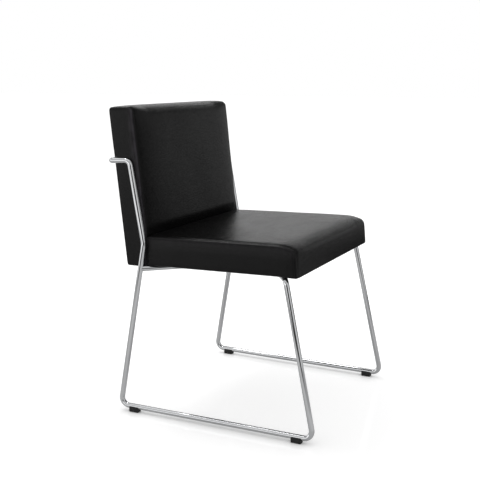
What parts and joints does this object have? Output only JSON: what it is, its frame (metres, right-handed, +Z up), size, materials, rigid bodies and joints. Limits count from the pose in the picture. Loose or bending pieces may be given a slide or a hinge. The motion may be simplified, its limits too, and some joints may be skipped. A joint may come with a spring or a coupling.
{
  "type": "sled base visitor chair",
  "caption": "Armless visitor chair: black leather seat and back on a sled frame of bent chrome rod with clip-on glides.",
  "frame": {"origin": "on the floor under the middle of the chair", "axes": "+X the sitter's left, -Y the front, +Z up"},
  "size_m": [0.5698, 0.5791, 0.8074],
  "materials": {
    "chrome": "bright chrome plate on bent steel rod",
    "leather": "black, smooth, semi-gloss",
    "foam": "cut upholstery foam",
    "plywood": "raw plywood",
    "liner": "black woven dust cloth",
    "plastic": "moulded, fine matt",
    "zinc": "zinc-plated steel"
  },
  "bodies": {
    "root": {"side_rod_right": "chrome", "side_rod_left": "chrome", "seat_rail_right": "chrome", "seat_rail_left": "chrome", "back_cross_rod": "chrome", "front_cross_bar": "chrome", "rear_cross_bar": "chrome", "back_bracket_right": "chrome", "back_bracket_left": "chrome", "back_tab_right": "chrome", "back_tab_left": "chrome", "glide_front_right": "plastic", "glide_front_left": "plastic", "glide_rear_right": "plastic", "glide_rear_left": "plastic", "seat_board": "plywood", "seat_foam": "foam", "seat_cover": "leather", "seat_dust_cover": "liner", "back_board": "plywood", "back_foam": "foam", "back_cover": "leather", "back_batten": "plywood", "back_dust_strip": "liner", "seat_screw_front_right": "zinc", "seat_screw_front_left": "zinc", "seat_screw_rear_right": "zinc", "seat_screw_rear_left": "zinc", "seat_washer_front_right": "zinc", "seat_washer_front_left": "zinc", "seat_washer_rear_right": "zinc", "seat_washer_rear_left": "zinc", "seat_nut_front_right": "zinc", "seat_nut_front_left": "zinc", "seat_nut_rear_right": "zinc", "seat_nut_rear_left": "zinc", "back_screw_right": "zinc", "back_screw_left": "zinc", "back_nut_right": "zinc", "back_nut_left": "zinc", "bracket_screw_right": "zinc", "bracket_screw_left": "zinc"}
  },
  "joints": []
}
